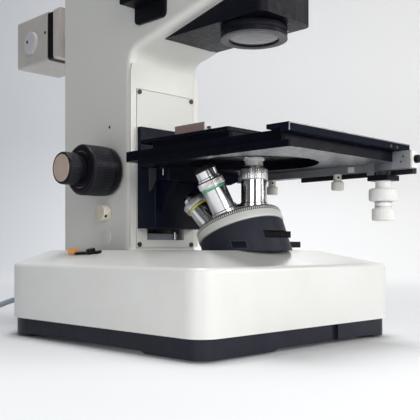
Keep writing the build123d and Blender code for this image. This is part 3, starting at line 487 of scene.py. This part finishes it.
def objective(name, phi, L, rb, rk, rn, k0, k1, band, knurl=56, dark_nose=False, nose=0):
    """Turned objective: flange, barrel with a colour band under the knurled ring, stepped nose with a front lens."""
    bm = bmesh.new()
    m = seat(phi)
    low = [(10.1, -4.6, 0), (10.1, 0, 0), (rb + 0.9, 0, 0), (rb + 0.9, 3.0, 0), (rb + 0.5, 3.4, 0), (rb, 3.7, 0)]
    if band:
        low += [(rb, k0 - 2.6, 0), (rb + 0.06, k0 - 2.6, 2), (rb + 0.06, k0 - 0.7, 2), (rb, k0 - 0.7, 0)]
    low += [(rb, k0 - 0.4, 0), (rk - 0.4, k0, 0)]
    lathe(bm, m, low, seg=96)
    lathe(bm, m, [(rk - 0.4, k0, 3), (rk, k0 + 0.4, 3, True), (rk, k1 - 0.6, 3, True), (rk - 0.5, k1, 3)], seg=knurl * 6, ribs=knurl, depth=0.32)
    nm = 4 if dark_nose else nose
    top = [(rk - 0.5, k1, 0), (rn + 1.2, k1 + 0.3, 0), (rn + 0.9, k1 + 0.6, 0), (rn + 0.9, k1 + 2.0, 0), (rn + 0.5, k1 + 2.4, 1), (rn, k1 + 2.6, nose), (rn, L - 4.6, nose), (rn, L - 3.4, nm), (rn - 0.4, L - 2.9, nm),
           (rn - 2.2, L - 0.1, nm), (rn - 2.6, L, nm), (4.2, L, nm), (4.0, L - 0.3, 1)]
    if nose:
        top = top[:6] + [(rn - 1.0, k1 + 2.8, nose), (rn - 1.0, L - 3.0, nose), (rn + 0.3, L - 2.2, nose), (rn + 0.4, L - 0.8, nose), (rn - 0.6, L, nose), (4.2, L, 0), (4.0, L - 0.3, 1)]
    lathe(bm, m, top, seg=96)
    lathe(bm, m, [(4.0, L - 0.3, 5), (3.0, L - 0.15, 5), (0, L - 0.05, 5)], seg=48)
    bmesh.ops.remove_doubles(bm, verts=bm.verts, dist=1e-6)
    ob = finish_mesh(name + "_detail", bm, [CHROME, DARK_METAL, band or CHROME, CHROME_WORN, DARK_METAL, GLASS, SATIN], "nosepiece", smooth=30)
    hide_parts(name)
    return ob


R = math.radians
objective("objective_high", R(0), 44.27, 11.7, 12.6, 9.3, 24.37, 33.87, None, knurl=48, nose=6)
objective("objective_medium", R(72), 46.4, 11.2, 12.2, 10.0, 26.37, 32.87, GREEN, knurl=52, dark_nose=True)
objective("objective_low", R(144), 36.87, 10.8, 11.9, 8.4, 22.87, 29.37, YELLOW, knurl=50)
objective("objective_scan", R(216), 28.87, 10.8, 11.9, 9.0, 15.87, 21.87, RED, knurl=50)

# small screws on the nosepiece crown
for k in range(5):
    a = R(36 + 72 * k)
    slot_screw("crown_screw_%d" % k, tuple(T0 + Vector((-30.6 * math.sin(a), 0, 0)) + EB * (-30.6 * math.cos(a)) + AXD * 1.72), tuple(Vector((-SA * math.sin(a), 0, 0)) + EB * (-SA * math.cos(a)) + AXD * CA),
               1.3, 0.5, STEEL, "nosepiece")

# pedestal: ribs on the slider's front, framed blind window
bm = bmesh.new()
for x in (4.0, 12.5, 21.0):
    rbox(bm, x, x + 1.0, 43.55, 44.4, 94.3, 99.7, bev=0.15)
finish_mesh("slider_ribs", bm, [BLACK], "nosepiece_slider", smooth=40)
bm = bmesh.new()
grid = []
for i in range(9):
    a = math.radians(-147.2 - 10.2 + 20.4 * i / 8)
    grid.append([bm.verts.new(TB @ Vector((r * math.cos(a) / 1000, r * math.sin(a) / 1000, (z - T0.z + r * math.sin(a) * SA) / CA / 1000))) for r, z in ((39.4, 84.2), (39.75, 84.4), (39.75, 91.0), (39.4, 91.2))])
for g, h in zip(grid, grid[1:]):
    for i in range(3):
        bm.faces.new((g[i], h[i], h[i + 1], g[i + 1]))
finish_mesh("pedestal_window", bm, [PED_FRAME], "stand", smooth=35)
bm = bmesh.new()
grid = []
for i in range(9):
    a = math.radians(-147.2 - 9.0 + 18.0 * i / 8)
    grid.append([bm.verts.new(TB @ Vector((r * math.cos(a) / 1000, r * math.sin(a) / 1000, (z - T0.z + r * math.sin(a) * SA) / CA / 1000))) for r, z in ((39.7, 84.8), (39.85, 85.0), (39.85, 90.4), (39.7, 90.6))])
for g, h in zip(grid, grid[1:]):
    for i in range(3):
        bm.faces.new((g[i], h[i], h[i + 1], g[i + 1]))
finish_mesh("pedestal_pane", bm, [PANE], "stand", smooth=35)
bm = bmesh.new()
rbox(bm, 46.0, 66.4, 63.1, 68.9, 85.2, 90.9, bev=0.6)
finish_mesh("pedestal_pin_grip", bm, [BLACK], "stand", smooth=40)
# bright pin in the panel's slot
disc("panel_pin", (16.0, 188.9, 93.2), (0, 0, 1), [(0, 0), (1.2, 0.2), (1.2, 7.8), (0, 8.0)], STEEL, "stand", seg=24)

# --------------------------------------------------------------------- stage
# white end plate, end button and small fittings of the guide beam
bm = bmesh.new()
rbox(bm, 80.2, 90.8, -48.6, -46.6, 155.2, 170.2, bev=0.5)
finish_mesh("beam_end_plate", bm, [WHITE], "guide_y", smooth=40)
disc("beam_end_button", (86.4, -48.2, 163.0), (0, -1, 0), [(3.6, 0), (3.6, 3.4), (3.1, 4.0), (0, 4.1)], BPLAST, "guide_y", seg=40)
for i, (y, z) in enumerate(((-38.0, 161.0), (-40.0, 165.5))):
    disc("beam_pin_%d" % i, (79.7, y, z), (-1, 0, 0), [(0.9, -0.2), (0.9, 0.25), (0, 0.3)], DARK_METAL, "guide_y", seg=20)
bm = bmesh.new()
rbox(bm, 79.7, 91.0, -46.6, -28.6, 155.1, 170.4, bev=0.5)
finish_mesh("beam_end_block", bm, [BLOCK], "guide_y", smooth=40)
bm = bmesh.new()
rbox(bm, 77.6, 80.3, 10.5, 16.5, 155.0, 160.2, bev=0.4)
finish_mesh("beam_stop", bm, [WHITE_OLD], "guide_y", smooth=40)
bm = bmesh.new()
tri = [(-45.6, 161.2), (-33.6, 161.2), (-33.6, 156.0), (-44.4, 139.0), (-45.6, 139.0)]
fr = [bm.verts.new(M(x, 156.0, z)) for x, z in tri]
bk = [bm.verts.new(M(x, 157.5, z)) for x, z in tri]
bm.faces.new(fr)
bm.faces.new(list(reversed(bk)))
for i in range(5):
    bm.faces.new((fr[i], bk[i], bk[(i + 1) % 5], fr[(i + 1) % 5]))
bmesh.ops.recalc_face_normals(bm, faces=bm.faces)
finish_mesh("stage_gusset", bm, [GUSSET], "stage", smooth=30)
# bright stop pin under the plate
disc("stage_pin", (-46.2, 136.5, 161.2), (0, 0, -1), [(0.6, -0.4), (0.6, 8.0), (0.4, 8.6), (0, 8.7)], GREY, "stage", seg=24)
disc("stage_pin_nut", (-46.2, 136.5, 161.1), (0, 0, -1), [(2.6, -0.4), (2.6, 2.2), (2.2, 2.6), (0, 2.6)], SLIDE_M, "stage", seg=6)
for i, y in enumerate((30.0, 111.0)):
    rib_sleeve("clamp_grip_%d" % i, (80.6, y, 0), (0, 0, 1), 5.7, 140.2, 147.0, 30, 0.4, WHITE_OLD, "guide_y", proud=0.25)
    disc("clamp_dot_%d" % i, (80.6 - 2.75, y - 2.75, 151.2), (-1, -1, 0), [(1.1, -0.4), (1.1, 0.28), (0, 0.3)], DARK, "guide_y", seg=20)
# the valleys between the white knob ribs are painted grey as shade
rib_sleeve("y_knob_grip", (79.75, -20, 0), (0, 0, 1), 12.6, 127.4, 137.2, 60, 0.5, WHITE, "knob_for_y", proud=0.25, dark=WHITE_GAP)
rib_sleeve("x_knob_grip", (79.75, -20, 0), (0, 0, 1), 9.9, 110.2, 119.8, 50, 0.45, WHITE, "knob_for_x", proud=0.2, dark=WHITE_GAP)
bm = bmesh.new()
lathe(bm, basis(M(79.75, -20, 0), (0, 0, 1)), [(7.5, 121.4), (7.72, 121.5), (7.72, 122.1), (7.5, 122.2), (7.5, 125.2), (7.72, 125.3), (7.72, 125.9), (7.5, 126.0)], seg=72)
finish_mesh("x_knob_band", bm, [GREY], "knob_for_x", smooth=35)
disc("x_knob_face", (79.75, -20, 109.4), (0, 0, -1), [(7.6, -0.2), (7.6, 0.12), (7.2, 0.3), (2.2, 0.3), (2.2, 0.1), (0, 0.1)], WHITE, "knob_for_x", seg=48)
# bright strips along the cross rail's top front edge and on its end, partly bare worn metal and partly a painted
# highlight, with two pins
bm = bmesh.new()
rbox(bm, -79.4, 91.0, -40.15, -38.9, 176.0, 177.02, bev=0.25)
finish_mesh("rail_edge", bm, [EDGE_M], "guide_y", smooth=40)
bm = bmesh.new()
rbox(bm, -79.55, -78.8, -40.1, -39.2, 170.6, 176.4, bev=0.2)
finish_mesh("rail_edge_end", bm, [EDGE_M], "guide_y", smooth=40)
for i, x in enumerate((60.0, 70.0)):
    slot_screw("rail_screw_%d" % i, (x, -40.0, 172.6), (0, -1, 0), 1.3, 0.4, DULL, "guide_y")
# scale strip without figures along the rail's top
bm = bmesh.new()
rbox(bm, -60, 60, -30.0, -26.0, 176.7, 177.0, bev=0.1)
finish_mesh("rail_scale", bm, [GREY], "guide_y")
bm = bmesh.new()
for k in range(61):
    x = -58.0 + 2.0 * k * 58.0 / 60.0
    ln = 3.2 if k % 10 == 0 else (2.4 if k % 5 == 0 else 1.6)
    rbox(bm, x - 0.14, x + 0.14, -29.6, -29.6 + ln, 176.95, 177.05, bev=0)
finish_mesh("rail_marks", bm, [DARK], "guide_y")
# holder clamp: white end face with a small hook
bm = bmesh.new()
rbox(bm, -45.3, -35.7, 81.9, 83.3, 182.6, 196.2, bev=0.3)
finish_mesh("clamp_end_face", bm, [WHITE], "holder_x", smooth=40)
bm = bmesh.new()
rbox(bm, -42.6, -40.4, 79.2, 82.4, 190.5, 192.0, bev=0.3)
rbox(bm, -42.6, -40.4, 79.2, 80.4, 187.2, 192.0, bev=0.3)
finish_mesh("clamp_hook", bm, [DARK_METAL], "holder_x", smooth=40)
for i, (x, y) in enumerate(((-62.0, 38.0), (28.0, 38.0), (-62.0, 130.0), (28.0, 130.0))):
    slot_screw("holder_screw_%d" % i, (x, y, 182.4), (0, 0, 1), 1.7, 0.5, STEEL, "holder_x")
for i, (x, y) in enumerate(((-66.0, -20.0), (66.0, -20.0), (-66.0, 146.0), (66.0, 146.0))):
    slot_screw("stage_screw_%d" % i, (x, y, 173.0), (0, 0, 1), 2.2, 0.15, STEEL, "stage")
# ----------------------------------------------------------------- condenser
rib_sleeve("iris_grip", (0, 64.6, 0), (0, 0, 1), 30.2, 278.7, 283.4, 110, 0.3, ANOD, "iris", proud=0.2, seg_per=6)
disc("iris_dot", (21.6, 43.0, 281.0), (1, -1, 0), [(0.8, -0.4), (0.8, 0.45), (0, 0.5)], WHITE, "iris", seg=20)

disc("condenser_face", (0, 64.6, 0), (0, 0, -1), [(22.5, -274.9), (22.5, -274.25), (14.0, -273.7), (0, -273.5)], FROST, "stand", seg=96)
# grey annulus round the condenser lens, facing down: painted light from the bright base below
bm = bmesh.new()
lathe(bm, basis(M(0, 64.6, 0), (0, 0, 1)), [(22.7, 273.4), (22.7, 272.85), (23.0, 272.7), (30.0, 272.7), (30.4, 273.0), (30.4, 273.9), (30.2, 274.2)], seg=120)
finish_mesh("condenser_rim", bm, [RIM], "stand", smooth=35)
bm = bmesh.new()
ring = [(12.0, 26.9)] + [(28.5 + 9.0 * math.sin(a), 35.9 - 9.0 * math.cos(a)) for a in [math.radians(7.5 * k) for k in range(13)]] + [(37.5, 149.0), (12.0, 149.0)]
lo = [bm.verts.new(M(x, y, 284.9)) for x, y in ring]
hi = [bm.verts.new(M(x, y, 300.0 if y > 100 else 317.0)) for x, y in ring]
bm.faces.new(list(reversed(lo)))
bm.faces.new(hi)
for i in range(len(ring)):
    j = (i + 1) % len(ring)
    bm.faces.new((lo[i], lo[j], hi[j], hi[i]))
finish_mesh("carrier_side", bm, [BLACK], "stand", smooth=35)

# ---------------------------------------------------------------------- lamp
# knob socket: a near-black disc as painted shade in the hole
disc("lamp_knob_socket", (-34.9, 394.6, 330.6), (-1, 0, 0), [(2.0, -0.3), (2.0, 0.12), (1.3, 0.1), (0, 0.02)], DARK, "lamp_centring", seg=24)
slot_screw("lamp_screw", (-30.7, 362.0, 336.0), (-1, 0, 0), 1.9, 0.3, DARK_METAL, "stand")
slot_screw("lamp_screw_right", (30.7, 362.0, 336.0), (1, 0, 0), 1.9, 0.3, DARK_METAL, "stand")

# ----------------------------------------------------------------- eyepieces
HC = Vector((0, 54.0, 428.0))
HN = Vector((0, -math.sqrt(0.5), math.sqrt(0.5)))
for x, side, body, dz in ((-32.0, "left", "left_eyepiece", 0.0), (32.0, "right", "right_tube", -0.3)):
    b4 = basis(M(x, HC.y, HC.z), HN, (1, 0, 0))
    bm = bmesh.new()
    lathe(bm, b4, [(10.2, 80.7 + dz), (8.8, 80.4 + dz), (8.6, 80.2 + dz), (8.4, 80.3 + dz, 1), (5.0, 80.9 + dz, 1), (0, 81.1 + dz, 1)], seg=64)
    finish_mesh("eye_lens_" + side, bm, [DARK_METAL, GLASS], body, smooth=35)
    bm = bmesh.new()
    n = 72
    lathe(bm, b4, [(15.9, 50.0 + dz), (16.4, 50.0 + dz), (16.85, 50.5 + dz, 0, True), (16.85, 64.6 + dz, 0, True), (16.4, 65.2 + dz), (15.9, 65.2 + dz)], seg=n * 6, ribs=n, depth=0.5, closed=True)
    finish_mesh("eye_grip_" + side, bm, [BPLAST], body, smooth=35)
    bm = bmesh.new()
    lathe(bm, b4, [(15.5, 76.2 + dz), (17.3, 76.9 + dz), (17.5, 78.0 + dz), (17.45, 80.2 + dz), (16.2, 82.6 + dz), (14.9, 84.2 + dz), (12.6, 84.5 + dz), (11.2, 84.1 + dz), (10.9, 83.2 + dz)], seg=72)
    finish_mesh("eye_cup_" + side, bm, [RUBBER], body, smooth=50)
for i, (x, y) in enumerate(((-42.0, 146.0), (42.0, 146.0))):
    slot_screw("head_screw_%d" % i, (x, 150.0, 414.0), (0, 1, 0), 2.6, 0.6, STEEL, "stand")

# ---------------------------------------------------------------------- cord
CORD_R = 3.0
CX, CY = -190.0, 327.5
R0, R1 = 25.5, 46.5
route = [(-60, 334, 30), (-60, 348, 30), (-65.0, 361.6, 28.0), (-74.6, 372, 23.6), (-87.6, 377.8, 17.6), (-102.2, 378.6, 11.4), (-117, 377.4, 6.6),
         (-131.5, 375.6, 4.0), (-146, 374.4, 3.1), (-160, 374, 3.1), (-171, 374, 3.1)]
pts = [M(*p) for p in route]
per = 16
n1, climb, n2 = 3.5, 0.25, 3.5
total = n1 + climb + n2
steps = int(total * per)
for k in range(0, steps + 1):
    t = k / per
    a = math.pi / 2 + 2 * math.pi * t
    if t <= n1:
        r, z = R1 - (R1 - R0) * t / n1, 3.1
    elif t <= n1 + climb:
        r, z = R0, 3.1 + 6.1 * (t - n1) / climb
    else:
        r, z = R0 + (R1 - R0) * (t - n1 - climb) / n2, 9.2
    kk = 1.0 / math.cos(math.pi / per)
    pts.append(M(CX + r * kk ** 0.5 * math.cos(a), CY + r * kk ** 0.5 * math.sin(a), z))
pts += [M(CX - R1, CY - 12, 9.4), M(CX - R1, CY - 22, 9.6), M(CX - R1, CY - 31.5, 9.6)]
cu = bpy.data.curves.new("mains_cord", "CURVE")
cu.dimensions = "3D"
cu.bevel_depth = CORD_R / 1000
cu.bevel_resolution = 6
cu.use_fill_caps = True
sp = cu.splines.new("NURBS")
sp.points.add(len(pts) - 1)
for p, q in zip(sp.points, pts):
    p.co = (q.x, q.y, q.z, 1.0)
sp.order_u = 3
sp.use_endpoint_u = True
sp.resolution_u = 6
cu.materials.append(CORDM)
cord = bpy.data.objects.new("mains_cord", cu)
scene.collection.objects.link(cord)
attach(cord, "stand")
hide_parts("cord_tube", "cord_coil")

# tie around the coil
bm = bmesh.new()
ring = []
cx = CX + 36.0
prof = [(22.0, -0.0), (23.0, 13.4), (24.6, 14.4), (47.4, 14.4), (49.2, 13.4), (50.2, 0.0)]
loop_o = [(21.9, 0.1), (21.6, 12.6), (23.2, 14.0), (48.8, 14.0), (50.4, 12.6), (50.1, 0.1)]
loop_i = [(22.5, 0.1), (22.3, 12.3), (23.5, 13.3), (48.5, 13.3), (49.7, 12.3), (49.5, 0.1)]
ang = R(-50)
d = Vector((math.cos(ang), math.sin(ang), 0))
tdir = Vector((-d.y, d.x, 0))
vo = []
for s in (-3.5, 3.5):
    row = []
    for r, z in loop_o + list(reversed(loop_i)):
        q = Vector((CX, CY, 0)) + d * r + tdir * s
        row.append(bm.verts.new(M(q.x, q.y, z)))
    vo.append(row)
n = len(vo[0])
for k in range(n):
    bm.faces.new((vo[0][k], vo[0][(k + 1) % n], vo[1][(k + 1) % n], vo[1][k]))
half = len(loop_o)
for row in vo:
    for k in range(half - 1):
        bm.faces.new((row[k], row[k + 1], row[n - 2 - k], row[n - 1 - k]))
tie = finish_mesh("cord_tie", bm, [RUBBER], "stand")
pins = [disc("plug_pin_%d" % k, (CX - R1 + dx, 246.0, 9.6), (0, -1, 0), [(2.45, 1.0), (2.45, 18.4), (1.9, 19.0), (0, 19.05)], STEEL, "stand", seg=24) for k, dx in enumerate((-9.5, 9.5))]

# ------------------------------------------------------------ floor and light
# painted light on the backdrop: its colour runs darker to the left and brighter to the right as light falloff, the
# floor factor darkens a band round the object as a painted shadow, and the glow lights the floor in front and the
# wall behind
BACKDROP_FALLOFF_STOPS = [(0.0, (0.62, 0.645, 0.68)), (1.0, (0.90, 0.90, 0.90)), (0.5, (0.78, 0.785, 0.80))]
GLOW_STOPS = [(0.0, (0.20,) * 3), (1.0, (0.27,) * 3), (0.11, (0.20,) * 3), (0.20, (0.0,) * 3), (0.5, (0.0,) * 3)]
FLOOR_SHADOW_STOPS = [(0.0, (1.0,) * 3), (1.0, (1.0,) * 3), (0.13, (1.0,) * 3), (0.21, (0.86,) * 3), (0.32, (0.86,) * 3), (0.6, (1.0,) * 3)]


def backdrop():
    bm = bmesh.new()
    fwd = Vector((0.70710678, 0.70710678, 0))
    rgt = Vector((0.70710678, -0.70710678, 0))
    prof = [(-3.0, 0.0), (1.6, 0.0)]
    for k in range(1, 13):
        a = math.pi / 2 * k / 12
        prof.append((1.6 + 0.9 * math.sin(a), 0.9 - 0.9 * math.cos(a)))
    prof.append((2.5, 4.5))
    rows = []
    for s in (-6.0, 6.0):
        rows.append([bm.verts.new(fwd * u + rgt * s + Vector((0, 0, z - 0.0002))) for u, z in prof])
    for k in range(len(prof) - 1):
        bm.faces.new((rows[0][k], rows[1][k], rows[1][k + 1], rows[0][k + 1]))
    bmesh.ops.recalc_face_normals(bm, faces=bm.faces)
    me = bpy.data.meshes.new("backdrop")
    bm.to_mesh(me)
    bm.free()
    for p in me.polygons:
        p.use_smooth = True
    m, nt, b = new_mat("backdrop_paper")
    tc = node(nt, "ShaderNodeTexCoord")
    ds = node(nt, "ShaderNodeVectorMath", operation="DOT_PRODUCT")
    du = node(nt, "ShaderNodeVectorMath", operation="DOT_PRODUCT")
    ds.inputs[1].default_value = rgt
    du.inputs[1].default_value = fwd
    nt.links.new(tc.outputs["Object"], ds.inputs[0])
    nt.links.new(tc.outputs["Object"], du.inputs[0])
    # painted light falloff from left to right, also used as the emission colour
    c = ramp(nt, maprange(nt, ds.outputs["Value"], 0.0, 1.0, -0.9, 1.0), BACKDROP_FALLOFF_STOPS)
    fm = node(nt, "ShaderNodeMix", data_type="RGBA", blend_type="MULTIPLY")
    fm.inputs["Factor"].default_value = 1.0
    nt.links.new(c, fm.inputs["A"])
    # painted shadow: a darker band in the floor where the object stands
    nt.links.new(ramp(nt, maprange(nt, du.outputs["Value"], 0.0, 1.0, -0.6, 2.2), FLOOR_SHADOW_STOPS), fm.inputs["B"])
    nt.links.new(fm.outputs["Result"], b.inputs["Base Color"])
    nt.links.new(c, b.inputs["Emission Color"])
    # painted light: emission brightens the floor in front and the wall behind
    g = ramp(nt, maprange(nt, du.outputs["Value"], 0.0, 1.0, -0.6, 2.2), GLOW_STOPS)
    nt.links.new(g, b.inputs["Emission Strength"])
    b.inputs["Roughness"].default_value = 0.8
    b.inputs["Specular IOR Level"].default_value = 0.15
    me.materials.append(m)
    o = bpy.data.objects.new("backdrop", me)
    scene.collection.objects.link(o)


backdrop()


def area(name, loc, target, size, power, col=(1, 1, 1), size_y=None):
    l = bpy.data.lights.new(name, "AREA")
    l.energy = power
    l.color = col
    l.shape = "RECTANGLE"
    l.size = size
    l.size_y = size_y or size
    o = bpy.data.objects.new(name, l)
    o.location = loc
    o.rotation_euler = (Vector(target) - Vector(loc)).to_track_quat("-Z", "Y").to_euler()
    scene.collection.objects.link(o)
    return o


area("key", (1.5, -1.9, 0.9), (0, 0, 0.15), 1.2, 18.8, (1.0, 0.99, 0.97))
area("key_low", (-0.25, -1.65, 0.4), (0, 0, 0.15), 1.0, 9.3, (1.0, 0.99, 0.97))
area("top", (0.0, 0.0, 2.2), (0, 0.0, 0), 0.8, 28.0)
area("fill", (-1.3, -0.7, 0.22), (-0.1, 0, 0.03), 0.6, 4.2, (0.97, 0.98, 1.0))
area("glint", (-1.05, -1.75, 0.85), (0, -0.1, 0.2), 0.6, 5.9, (1.0, 1.0, 1.0))
area("back", (1.4, 1.2, 1.3), (0.2, 0.2, 0.2), 1.2, 10.5)

w = bpy.data.worlds.new("studio")
scene.world = w
w.use_nodes = True
bg = w.node_tree.nodes["Background"]
bg.inputs["Color"].default_value = (0.86, 0.87, 0.90, 1)
bg.inputs["Strength"].default_value = 0.13

# --------------------------------------------------------------------- camera
cam = bpy.data.cameras.new("camera")
cam.sensor_width = 36.0
cam.lens = 62.2
cam.shift_y = 0.0924
cam.clip_start = 0.01
cam.clip_end = 50
co = bpy.data.objects.new("camera", cam)
co.location = M(-492.9, -372.0, 84.0)
co.rotation_euler = (math.pi / 2, 0, -math.pi / 4)
scene.collection.objects.link(co)
scene.camera = co
scene.view_settings.view_transform = "Standard"
